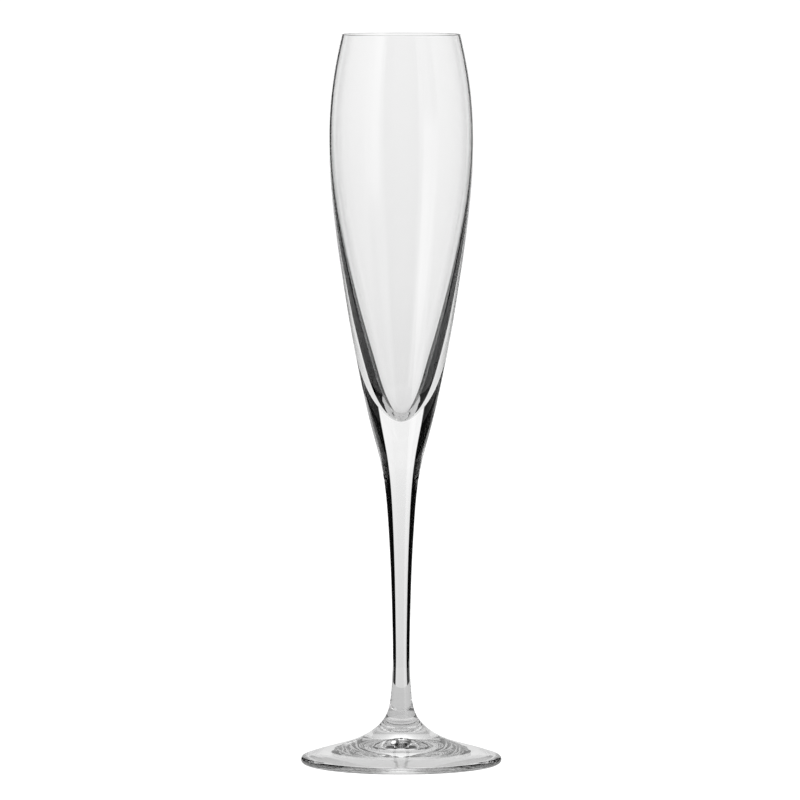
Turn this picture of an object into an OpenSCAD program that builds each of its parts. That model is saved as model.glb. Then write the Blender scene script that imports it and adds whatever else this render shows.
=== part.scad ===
// Champagne flute: a drawn glass bowl, a solid stem and a disc foot, fused end to end.
// Every piece is a solid of revolution about Z.
// +Z is up, and the origin is the centre of the foot's underside, in the plane it stands on.

/* [Bowl] */
// Overall height, from the table to the lip
height = 250; // [244:1:262]
// Outer diameter at the lip
lip_d = 41; // [38:0.5:44]
// Outer diameter at the fullest part of the bowl
belly_d = 50; // [47:0.5:54]
// Thickness of the wall at the lip
lip_wall = 0.9; // [0.7:0.1:1.3]
// Lean of the wall towards the axis at the lip, in degrees
lip_lean = 13; // [8:1:16]
// Height of the lowest point of the inside
cup_floor_z = 118.5; // [116:0.5:121]

/* [Stem] */
// Height of the joint between bowl and stem
bowl_joint_z = 104; // [98:1:110]
// Diameter of the slimmest part of the stem
waist_d = 5.8; // [5:0.2:7]

/* [Foot] */
// Height of the joint between stem and foot
foot_joint_z = 18.5; // [17:0.5:20]
// Diameter of the foot
foot_d = 69; // [64:1:76]
// Thickness of the foot's rounded edge
edge_h = 2.6; // [2:0.2:3.2]
// Width of the flat ring that the foot stands on
ring_w = 1.6; // [1:0.2:2.4]
// Rise of the hollow under the foot, to its peak in the middle
hollow_h = 6.5; // [4:0.5:8]

/* [Hidden] */
$fn = 96;

lip_r = lip_d / 2;
belly_r = belly_d / 2;
waist_r = waist_d / 2;
foot_r = foot_d / 2;
edge_r = edge_h / 2;
round_r = lip_wall / 2;
curve_steps = 8;
round_steps = 8;

// A smooth curve, the uniform cubic B-spline that a list of [radius, height] points pulls into shape
function pull_weights(t) = [(1 - t) ^ 3, 3 * t ^ 3 - 6 * t ^ 2 + 4, 1 + 3 * t * (1 + t - t * t), t ^ 3] / 6;
function curve_point(p, i, t) = pull_weights(t) * [p[i], p[i + 1], p[i + 2], p[i + 3]];
function curve(p) = [
    for (i = [0:len(p) - 4], k = [0:curve_steps - 1]) curve_point(p, i, k / curve_steps),
    curve_point(p, len(p) - 4, 1)
];
// The extra pull point that makes the curve end at its last point but one
function beyond(end, next) = 2 * end - next;

// Points on a round of radius r about c, from angle a to angle b
function round_points(c, r, a, b) = [
    for (k = [0:round_steps]) c + r * [cos(a + (b - a) * k / round_steps), sin(a + (b - a) * k / round_steps)]
];

// Radius at height z of a curve that falls all the way
function radius_at(c, z) = lookup(z, [for (p = c) [p[1], p[0]]]);
// The stretch of such a curve between two heights, with a point at each
function stretch(c, high, low) = [
    [radius_at(c, high), high],
    for (p = c) if (p[1] < high - 0.2 && p[1] > low + 0.2) p,
    [radius_at(c, low), low]
];

// The lip is a full round across the wall, which leans in towards the axis
lip_mid = [lip_r - round_r, height - round_r];
lip_outside = lip_mid + round_r * [cos(lip_lean), sin(lip_lean)];
lip_inside = lip_mid - round_r * [cos(lip_lean), sin(lip_lean)];
lip_down = [sin(lip_lean), -cos(lip_lean)];
lip_lead = 10;

// Pull points of the bowl: [share of the belly's radius, share of the way up from joint to lip]
bowl_h = height - bowl_joint_z;
function bowl_pull(shares) = [for (s = shares) [s[0] * belly_r, bowl_joint_z + s[1] * bowl_h]];
bowl_outside = bowl_pull([
    [0.99, 0.83], [1, 0.71], [0.93, 0.575], [0.82, 0.44], [0.69, 0.3], [0.55, 0.18], [0.42, 0.08]
]);
cup_inside = bowl_pull([
    [0.96, 0.83], [0.975, 0.71], [0.88, 0.575], [0.725, 0.44], [0.555, 0.315], [0.39, 0.22], [0.265, 0.145]
]);

// Pull points of the stem: [share of the waist's radius, share of the way up from foot to bowl]
stem_h = bowl_joint_z - foot_joint_z;
stem_outside = [
    for (s = [[2.4, 1], [1.83, 0.88], [1.52, 0.74], [1.22, 0.56], [1.07, 0.37], [0.97, 0.23], [1.06, 0.12]])
        [s[0] * waist_r, foot_joint_z + s[1] * stem_h]
];

// Pull points of the foot's top: [share of the foot's radius, share of the joint's height]
foot_top = [
    for (s = [[0.11, 1.09], [0.145, 0.89], [0.23, 0.67], [0.41, 0.455], [0.61, 0.335], [0.81, 0.24]])
        [s[0] * foot_r, s[1] * foot_joint_z]
];

// The foot's edge is a round that its top runs into at a shallow slope
edge_mid = [foot_r - edge_r, edge_r];
edge_slope = 18;
edge_top = edge_mid + edge_r * [sin(edge_slope), cos(edge_slope)];

// One unbroken outline runs down the outside, through both joints, to the foot's edge
lip_lead_outside = lip_outside + lip_lead * lip_down;
outside = curve(concat(
    [beyond(lip_outside, lip_lead_outside), lip_outside, lip_lead_outside],
    bowl_outside, stem_outside, foot_top,
    [edge_top, beyond(edge_top, foot_top[len(foot_top) - 1])]
));

// The inside closes in a soft point: its last pull points lie on the axis and across it
lip_lead_inside = lip_inside + lip_lead * lip_down;
cup_last = cup_inside[len(cup_inside) - 1];
inside = curve(concat(
    [beyond(lip_inside, lip_lead_inside), lip_inside, lip_lead_inside],
    cup_inside,
    [[0, (3 * cup_floor_z - cup_last[1]) / 2], [-cup_last[0], cup_last[1]]]
));

// Pull points of the hollow under the foot, which peaks in the middle: [share of its radius, of its rise]
hollow_r = foot_r - edge_r - ring_w;
hollow_edge = [hollow_r, 0];
hollow_pull = [
    for (s = [[0.85, 0.3], [0.6, 0.55], [0.3, 0.72], [0.12, 0.9]]) [s[0] * hollow_r, s[1] * hollow_h]
];
hollow_last = hollow_pull[len(hollow_pull) - 1];
hollow = curve(concat(
    [beyond(hollow_edge, hollow_pull[0]), hollow_edge],
    hollow_pull,
    [[0, (3 * hollow_h - hollow_last[1]) / 2], [-hollow_last[0], hollow_last[1]]]
));

// The points of a list in the opposite order
function reversed(p) = [for (i = [len(p) - 1:-1:0]) p[i]];

// Cup with a solid base, which narrows to the stem
module bowl() {
    color("lightcyan", 0.5)
    rotate_extrude()
    polygon(concat(
        stretch(outside, lip_outside[1], bowl_joint_z),
        [[0, bowl_joint_z]],
        reversed(inside),
        round_points(lip_mid, round_r, 180 + lip_lean, lip_lean)
    ));
}

// Solid rod, slimmest just above the foot
module stem() {
    color("azure", 0.5)
    rotate_extrude()
    polygon(concat([[0, bowl_joint_z]], stretch(outside, bowl_joint_z, foot_joint_z), [[0, foot_joint_z]]));
}

// Disc that rises to the stem, with a rounded edge, a flat standing ring and a hollow underside
module foot() {
    color("aliceblue", 0.5)
    rotate_extrude()
    polygon(concat(
        [[0, foot_joint_z]],
        stretch(outside, foot_joint_z, edge_top[1]),
        round_points(edge_mid, edge_r, 90 - edge_slope, -90),
        hollow
    ));
}

bowl();
stem();
foot();
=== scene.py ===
"""Looks for the champagne flute: three fused pieces of clear glass in a bright-field studio.

The bowl, stem and foot are turned afresh, as fine smooth meshes, from the outlines of the CAD nodes.
Clear glass has no colour of its own, so most of its look is the studio: a bright field behind it,
black flags and grey walls at both sides, a softbox at each front corner and a dark room in front.
"""

import math

import bpy
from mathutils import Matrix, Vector


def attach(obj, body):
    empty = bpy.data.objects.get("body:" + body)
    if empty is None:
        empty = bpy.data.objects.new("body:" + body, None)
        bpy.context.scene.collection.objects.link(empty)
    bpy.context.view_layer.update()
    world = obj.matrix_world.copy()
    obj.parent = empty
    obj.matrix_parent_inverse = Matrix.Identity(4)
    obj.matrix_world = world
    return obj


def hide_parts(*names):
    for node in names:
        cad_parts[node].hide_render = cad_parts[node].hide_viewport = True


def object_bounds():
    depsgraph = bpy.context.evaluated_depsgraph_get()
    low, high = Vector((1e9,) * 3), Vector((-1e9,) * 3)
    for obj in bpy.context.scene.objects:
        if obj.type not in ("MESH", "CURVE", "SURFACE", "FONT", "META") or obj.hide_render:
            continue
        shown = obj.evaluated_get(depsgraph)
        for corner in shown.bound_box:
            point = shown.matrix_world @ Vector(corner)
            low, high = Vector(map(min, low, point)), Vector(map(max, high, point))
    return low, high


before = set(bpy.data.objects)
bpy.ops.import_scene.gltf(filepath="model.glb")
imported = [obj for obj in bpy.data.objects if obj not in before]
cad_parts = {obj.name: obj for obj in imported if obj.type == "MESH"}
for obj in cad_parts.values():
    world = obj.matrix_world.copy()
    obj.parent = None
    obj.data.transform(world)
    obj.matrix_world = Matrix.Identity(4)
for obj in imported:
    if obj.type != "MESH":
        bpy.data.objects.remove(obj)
cad_low, cad_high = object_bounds()

MM = 0.001
HEIGHT = cad_high.z - cad_low.z

TURN_STEPS = 256          # flat sides round each turned mesh
SAME_PLACE = 1e-6         # two points nearer than this are one, in metres
CREASE = math.radians(5)  # a sharper bend than this in the outline is a crease
IOR = 1.52                # soda-lime and crystal glass
INNER_REFLECTIONS = 14    # times that a ray of light may be reflected on its way through the glass
INNER_CROSSINGS = 4       # further times that it may go in and out

# Studio wall. Turns are in degrees from straight behind the glass, heights are shares of HEIGHT
WALL_COLUMNS = 360
WALL_ROWS = 170
WALL_RADIUS = 0.544 * HEIGHT
WALL_BOTTOM = -0.4
WALL_TOP = 3
MIDDLE = 0.6              # height that the lights' slopes are set from
SLOPE_END = 1.6           # height above which they change no more
FIELD_TURN = 27.5         # half the width of the bright field
FIELD_CORE = 12           # half the width of its slightly dimmer middle
FIELD_TOP = 2.3
FIELD_LIGHT = 0.96        # brightness of the middle of the field, and its slopes under and over MIDDLE
FIELD_RISE_UNDER = 0.42
FIELD_RISE_OVER = 0.2
FIELD_SIDES = 1.03        # how much brighter the field's sides are
FLAG_FOOT = 0.08          # height at which the black flags' outer parts begin
FLAG_LOW_STOP = 54        # where the flags end under FLAG_FOOT, and the least and most over it
FLAG_LEAST_STOP = 38
FLAG_MOST_STOP = 98
FLAG_TOP = 1.1            # height over which the flags may be narrower than FLAG_LEAST_STOP
FLAG_STOP = {"left": 75, "right": 70.5}    # where the flags end at MIDDLE, and how far they lean in
FLAG_LEAN = {"left": 100, "right": 73}
SIDE_LIGHT = {"left": 0.28, "right": 0.36}  # brightness of the grey side walls at MIDDLE, and its slopes
SIDE_RISE = {"left": 0.27, "right": -0.15}
LOW_LIGHT = 0.55          # brightness of the side walls under FLAG_FOOT
BOX_START = 124.5         # the front softboxes' near and far edges
BOX_STOP = 148
BOX_LIGHT = 0.55
LEFT_BOX_FADE = (0.6, 0.72)    # heights between which the left softbox begins
RIGHT_BOX_FADE = (0.86, 1)     # and the right one ends
SWELL_TOP = 0.8           # from here down to SWELL_FOOT the right one gets brighter, by SWELL for each HEIGHT
SWELL_FOOT = 0.45
SWELL = 2
ROOM_LIGHT = 0.04         # brightness of the room behind the camera

# What the glass sees of the room overhead and of the floor, and what the camera sees added to it
WORLD_LIGHT = 0.65
WORLD_BOOST = 0.45
FLOOR_LIGHT = 0.52
FLOOR_BOOST = 0.65
FLOOR_GREY = 0.1          # share of the light that the floor throws back
FLOOR_HALF = 30 * HEIGHT  # from its middle to its edge
FLOOR_GAP = 0.02 * MM     # how far it lies under the glass

# Camera: a long lens a little above the middle of the bowl, looking slightly down
CAMERA_DISTANCE = 6.65 * HEIGHT
CAMERA_HEIGHT = 0.828 * HEIGHT
AIM_HEIGHT = 0.4995 * HEIGHT
VIEW_WIDTH = 1.0968 * HEIGHT
SIDESTEP = -0.0017 * HEIGHT


# ---------------------------------------------------------------- outlines and turned meshes

def half_plane_points(mesh):
    """Vertices in the half plane y = 0, x >= 0, as {index: (radius, height)} in steps of SAME_PLACE."""
    return {
        v.index: (round(v.co.x / SAME_PLACE), round(v.co.z / SAME_PLACE))
        for v in mesh.vertices
        if abs(v.co.y) < SAME_PLACE and v.co.x > -SAME_PLACE
    }


def outline(node):
    """A turned node's outline as (radius, height) points, walked from its lowest end to its other end."""
    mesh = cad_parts[node].data
    place = half_plane_points(mesh)
    links = {p: set() for p in place.values()}
    for edge in mesh.edges:
        a, b = (place.get(i) for i in edge.vertices)
        if a is not None and b is not None and a != b:
            links[a].add(b)
            links[b].add(a)
    left = set(links)
    ends = [p for p in left if len(links[p]) < 2]
    here = min(ends, key=lambda p: (p[1], p[0]))
    walk = [here]
    left.discard(here)
    while left:
        near = [p for p in links[here] if p in left] or [p for p in ends if p in left] or list(left)
        here = min(near, key=lambda p: math.dist(p, here))
        walk.append(here)
        left.discard(here)
    return [Vector((r * SAME_PLACE, z * SAME_PLACE)) for r, z in walk]


def mirrored(point):
    """The point across the axis."""
    return Vector((-point.x, point.y))


def turn_between(a, b):
    """The signed angle from one direction to another."""
    return math.atan2(a.x * b.y - a.y * b.x, a.dot(b))


def outline_normals(points):
    """The unit normal at each point of an outline that runs from axis to axis with the solid on its left.

    Each is carried on from the two steps before the point and traced back from the two after it, so that
    uneven steps make no waves and a rounded edge doesn't tilt the plain wall beside it. Where the two
    disagree there is a crease, and the one nearer to the chord is taken."""
    run = [mirrored(p) for p in points[2:0:-1]] + points + [mirrored(p) for p in points[-2:-4:-1]]
    steps = [b - a for a, b in zip(run, run[1:])]
    normals = []
    for before, into, out, after in zip(steps, steps[1:], steps[2:], steps[3:]):
        carried = turn_between(before, into) * into.length / (before.length + into.length)
        traced = turn_between(into, out) - turn_between(out, after) * out.length / (out.length + after.length)
        chord = turn_between(into, into + out)
        turn = (carried + traced) / 2 if abs(carried - traced) < CREASE else min(
            carried, traced, key=lambda angle: abs(angle - chord))
        heading = math.atan2(into.y, into.x) + turn
        normals.append(Vector((math.sin(heading), -math.cos(heading))))
    return normals


def turned(name, profile, normals):
    """A closed solid of revolution. Its flat fused ends are faces of material slot 1, the rest of slot 0."""
    verts, faces, slots, loop_normals = [], [], [], []
    directions = [(math.cos(2 * math.pi * k / TURN_STEPS), math.sin(2 * math.pi * k / TURN_STEPS))
                  for k in range(TURN_STEPS)]
    rings = []
    for p in profile:
        start = len(verts)
        if p.x < SAME_PLACE:
            verts.append((0, 0, p.y))
            rings.append([start] * TURN_STEPS)
        else:
            verts += [(p.x * c, p.x * s, p.y) for c, s in directions]
            rings.append(list(range(start, start + TURN_STEPS)))
    for i in range(len(profile) - 1):
        for k in range(TURN_STEPS):
            n = (k + 1) % TURN_STEPS
            corners = {}
            for ring, step in ((i, k), (i, n), (i + 1, n), (i + 1, k)):
                c, s = directions[step]
                normal = normals[ring]
                corners.setdefault(rings[ring][step], (normal.x * c, normal.x * s, normal.y))
            faces.append(list(corners))
            loop_normals += corners.values()
            slots.append(0)
    for end, ring, up in ((profile[0], rings[0], -1), (profile[-1], rings[-1], 1)):
        if end.x < SAME_PLACE:
            continue
        middle = len(verts)
        verts.append((0, 0, end.y))
        for k in range(TURN_STEPS):
            n = (k + 1) % TURN_STEPS
            faces.append([middle, ring[k], ring[n]][::up])
            loop_normals += [(0, 0, up)] * 3
            slots.append(1)
    mesh = bpy.data.meshes.new(name)
    mesh.from_pydata(verts, [], faces)
    mesh.polygons.foreach_set("material_index", slots)
    mesh.normals_split_custom_set(loop_normals)
    return mesh


def glass_piece(node, glass, profile, normals):
    """The visible piece that stands for a CAD node: turned from its outline, in its own glass."""
    mesh = turned(node + "_glass", profile, normals)
    mesh.materials.append(glass)
    mesh.materials.append(fused_seam())
    piece = bpy.data.objects.new(node + "_glass", mesh)
    bpy.context.scene.collection.objects.link(piece)
    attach(piece, "root")
    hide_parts(node)
    return piece


def make_glass():
    """Foot, stem and bowl. Each outline runs on into its neighbour's, so no seam shows in the surface."""
    foot, stem, bowl = (outline(node) for node in ("foot", "stem", "bowl"))
    normals = outline_normals(foot + stem[1:] + bowl[1:])
    stem_start = len(foot) - 1
    bowl_start = stem_start + len(stem) - 1
    glass_piece("foot", foot_glass(), foot, normals[:len(foot)])
    glass_piece("stem", stem_glass(), stem, normals[stem_start:bowl_start + 1])
    glass_piece("bowl", bowl_glass(), bowl, normals[bowl_start:])


# ---------------------------------------------------------------- materials

def new_material(name):
    """An empty node material, with its tree and its output."""
    material = bpy.data.materials.new(name)
    material.use_nodes = True
    tree = material.node_tree
    tree.nodes.clear()
    return material, tree, tree.nodes.new("ShaderNodeOutputMaterial")


def fused_seam():
    """The flat ends where two pieces are fused: glass goes on through them, so nothing is seen there."""
    material = bpy.data.materials.get("fused_seam")
    if material is None:
        material, tree, out = new_material("fused_seam")
        clear = tree.nodes.new("ShaderNodeBsdfTransparent")
        tree.links.new(clear.outputs["BSDF"], out.inputs["Surface"])
    return material


def clear_glass(name):
    """Colourless polished glass, with its material, tree and shader."""
    material, tree, out = new_material(name)
    glass = tree.nodes.new("ShaderNodeBsdfPrincipled")
    glass.inputs["Base Color"].default_value = (0.99, 0.99, 0.99, 1)
    glass.inputs["Roughness"].default_value = 0
    glass.inputs["IOR"].default_value = IOR
    glass.inputs["Transmission Weight"].default_value = 1
    tree.links.new(glass.outputs["BSDF"], out.inputs["Surface"])
    return material, tree, glass


def ripples(tree, size):
    """Soft unevenness. size is the length of one ripple along x, y and z."""
    place = tree.nodes.new("ShaderNodeTexCoord")
    stretch = tree.nodes.new("ShaderNodeMapping")
    stretch.inputs["Scale"].default_value = [1 / length for length in size]
    noise = tree.nodes.new("ShaderNodeTexNoise")
    noise.inputs["Scale"].default_value = 1
    noise.inputs["Detail"].default_value = 1
    tree.links.new(place.outputs["Object"], stretch.inputs["Vector"])
    tree.links.new(stretch.outputs["Vector"], noise.inputs["Vector"])
    return noise.outputs["Fac"]


def spun_rings(tree, spacing):
    """Fine rings round the axis, a little out of true. The wave repeats every pi / 10 at a scale of 1."""
    place = tree.nodes.new("ShaderNodeTexCoord")
    wave = tree.nodes.new("ShaderNodeTexWave")
    wave.wave_type = "RINGS"
    wave.rings_direction = "Z"
    wave.inputs["Scale"].default_value = math.pi / 10 / spacing
    wave.inputs["Distortion"].default_value = 1.5
    wave.inputs["Detail Scale"].default_value = 0.3
    tree.links.new(place.outputs["Object"], wave.inputs["Vector"])
    return wave.outputs["Fac"]


def add_relief(tree, shader, height, depth):
    """Presses a pattern of heights from 0 to 1 into the surface, depth deep."""
    bump = tree.nodes.new("ShaderNodeBump")
    bump.inputs["Distance"].default_value = depth
    tree.links.new(height, bump.inputs["Height"])
    tree.links.new(bump.outputs["Normal"], shader.inputs["Normal"])


def bowl_glass():
    """Blown and drawn: faint ripples, long down the wall and short across it."""
    material, tree, glass = clear_glass("bowl_clear")
    add_relief(tree, glass, ripples(tree, size=(7 * MM, 7 * MM, 45 * MM)), depth=0.012 * MM)
    return material


def stem_glass():
    """Pulled out of the bowl while hot: long, narrow draw lines."""
    material, tree, glass = clear_glass("stem_clear")
    add_relief(tree, glass, ripples(tree, size=(1.6 * MM, 1.6 * MM, 30 * MM)), depth=0.006 * MM)
    return material


def foot_glass():
    """Pressed and spun: fine rings round the axis."""
    material, tree, glass = clear_glass("foot_clear")
    add_relief(tree, glass, spun_rings(tree, spacing=2.6 * MM), depth=0.006 * MM)
    return material


# ---------------------------------------------------------------- studio

def make_camera():
    """A long lens at the photo's angle, aimed at the middle of the frame."""
    data = bpy.data.cameras.new("camera")
    camera = bpy.data.objects.new("camera", data)
    bpy.context.scene.collection.objects.link(camera)
    place = Vector((SIDESTEP, -CAMERA_DISTANCE, CAMERA_HEIGHT))
    aim = Vector((SIDESTEP, 0, AIM_HEIGHT))
    camera.location = place
    camera.rotation_euler = (aim - place).to_track_quat("-Z", "Y").to_euler()
    data.lens = data.sensor_width * (aim - place).length / VIEW_WIDTH
    data.clip_start = 0.1 * HEIGHT
    data.clip_end = 100 * HEIGHT
    bpy.context.scene.camera = camera
    return camera


def smooth_step(low, high, value):
    """0 below low, 1 above high, and a soft rise between them."""
    t = min(1, max(0, (value - low) / (high - low)))
    return t * t * (3 - 2 * t)


def wall_material():
    """Gives light as the wall's own "glow" attribute says."""
    material = bpy.data.materials.get("rig_light")
    if material is None:
        material, tree, out = new_material("rig_light")
        glow = tree.nodes.new("ShaderNodeAttribute")
        glow.attribute_name = "glow"
        light = tree.nodes.new("ShaderNodeEmission")
        tree.links.new(glow.outputs["Fac"], light.inputs["Strength"])
        tree.links.new(light.outputs["Emission"], out.inputs["Surface"])
    return material


def field_light(side, rise):
    """The bright field behind the glass, lighter towards its top and its sides."""
    middle = FIELD_LIGHT + (FIELD_RISE_OVER if rise > 0 else FIELD_RISE_UNDER) * rise
    return middle * (FIELD_SIDES if side > FIELD_CORE else 1)


def flag_stop(hand, height, rise):
    """Where the black flags end. Their outer edges lean in towards their tops."""
    if height < FLAG_FOOT:
        return FLAG_LOW_STOP
    least = FLAG_LEAST_STOP if height < FLAG_TOP else FIELD_TURN
    return min(FLAG_MOST_STOP, max(least, FLAG_STOP[hand] - FLAG_LEAN[hand] * rise))


def box_light(hand, height):
    """The softboxes at the front corners: high on the left, and low and brighter below on the right."""
    if hand == "left":
        return BOX_LIGHT * smooth_step(*LEFT_BOX_FADE, height)
    swell = SWELL * max(0, SWELL_TOP - max(height, SWELL_FOOT))
    return BOX_LIGHT * (1 - smooth_step(*RIGHT_BOX_FADE, height)) + swell


def rig_light(turn, height):
    """How bright the studio is, by turn in degrees to the camera's left of straight behind the glass.

    A bright field stands behind, with black flags beside it. Grey side walls follow, then a softbox at
    each front corner, and a dark room behind the camera. Heights are shares of the glass's own."""
    hand = "left" if turn > 0 else "right"
    side = abs(turn)
    rise = min(max(height, 0), SLOPE_END) - MIDDLE
    if side < FIELD_TURN:
        return field_light(side, rise) if height < FIELD_TOP else 0
    if side < flag_stop(hand, height, rise):
        return 0
    if side < BOX_START:
        return LOW_LIGHT if height < FLAG_FOOT else SIDE_LIGHT[hand] + SIDE_RISE[hand] * rise
    if side < BOX_STOP:
        return box_light(hand, height)
    return ROOM_LIGHT


def add_rig(camera):
    """A round wall of light and dark that only the glass sees.

    It moves with the camera, as a photographer's rig stays put while the glass is turned."""
    low, high = WALL_BOTTOM * HEIGHT, WALL_TOP * HEIGHT
    verts, faces, glows = [], [], []
    for i in range(WALL_COLUMNS):
        for j in range(WALL_ROWS + 1):
            turn = -180 + 360 * i / WALL_COLUMNS
            height = low + (high - low) * j / WALL_ROWS
            a = math.radians(turn)
            verts.append((-WALL_RADIUS * math.sin(a), WALL_RADIUS * math.cos(a), height))
            glows.append(rig_light(turn, height / HEIGHT))
    for i in range(WALL_COLUMNS):
        for j in range(WALL_ROWS):
            a = i * (WALL_ROWS + 1) + j
            b = (i + 1) % WALL_COLUMNS * (WALL_ROWS + 1) + j
            faces.append((a, b, b + 1, a + 1))
    mesh = bpy.data.meshes.new("studio_wall")
    mesh.from_pydata(verts, [], faces)
    mesh.attributes.new("glow", "FLOAT", "POINT").data.foreach_set("value", glows)
    mesh.materials.append(wall_material())
    wall = bpy.data.objects.new("studio_wall", mesh)
    bpy.context.scene.collection.objects.link(wall)
    wall.parent = camera
    wall.matrix_parent_inverse = camera.matrix_world.inverted()
    wall.visible_camera = False
    wall.visible_diffuse = False
    wall.visible_shadow = False


def two_way_light(tree, light, boost):
    """A brightness: light to the glass and to other surfaces, and light + boost to the camera itself."""
    path = tree.nodes.new("ShaderNodeLightPath")
    level = tree.nodes.new("ShaderNodeMath")
    level.operation = "MULTIPLY_ADD"
    level.inputs[1].default_value = boost
    level.inputs[2].default_value = light
    tree.links.new(path.outputs["Is Camera Ray"], level.inputs[0])
    return level.outputs[0]


def make_world():
    """A dim room overhead; the camera's own view of it is pure white."""
    world = bpy.data.worlds.new("studio")
    bpy.context.scene.world = world
    world.use_nodes = True
    tree = world.node_tree
    background = tree.nodes["Background"]
    background.inputs["Color"].default_value = (1, 1, 1, 1)
    tree.links.new(two_way_light(tree, WORLD_LIGHT, WORLD_BOOST), background.inputs["Strength"])


def make_floor():
    """A pale matt floor that reads as pure white from the camera."""
    material, tree, out = new_material("floor_white")
    matt = tree.nodes.new("ShaderNodeBsdfDiffuse")
    matt.inputs["Color"].default_value = (FLOOR_GREY, FLOOR_GREY, FLOOR_GREY, 1)
    light = tree.nodes.new("ShaderNodeEmission")
    both = tree.nodes.new("ShaderNodeAddShader")
    tree.links.new(two_way_light(tree, FLOOR_LIGHT, FLOOR_BOOST), light.inputs["Strength"])
    tree.links.new(matt.outputs["BSDF"], both.inputs[0])
    tree.links.new(light.outputs["Emission"], both.inputs[1])
    tree.links.new(both.outputs["Shader"], out.inputs["Surface"])
    half = FLOOR_HALF
    mesh = bpy.data.meshes.new("floor")
    corners = [(-half, -half, 0), (half, -half, 0), (half, half, 0), (-half, half, 0)]
    mesh.from_pydata(corners, [], [(0, 1, 2, 3)])
    mesh.materials.append(material)
    floor = bpy.data.objects.new("floor", mesh)
    floor.location.z = cad_low.z - FLOOR_GAP
    bpy.context.scene.collection.objects.link(floor)


def set_light_paths():
    """Lets light be reflected to and fro inside the solid foot until it finds its way out."""
    cycles = bpy.context.scene.cycles
    cycles.glossy_bounces = INNER_REFLECTIONS
    cycles.max_bounces = INNER_REFLECTIONS + INNER_CROSSINGS


bpy.context.scene.view_settings.view_transform = "Standard"
set_light_paths()
camera = make_camera()
bpy.context.view_layer.update()
make_world()
make_floor()
add_rig(camera)
make_glass()
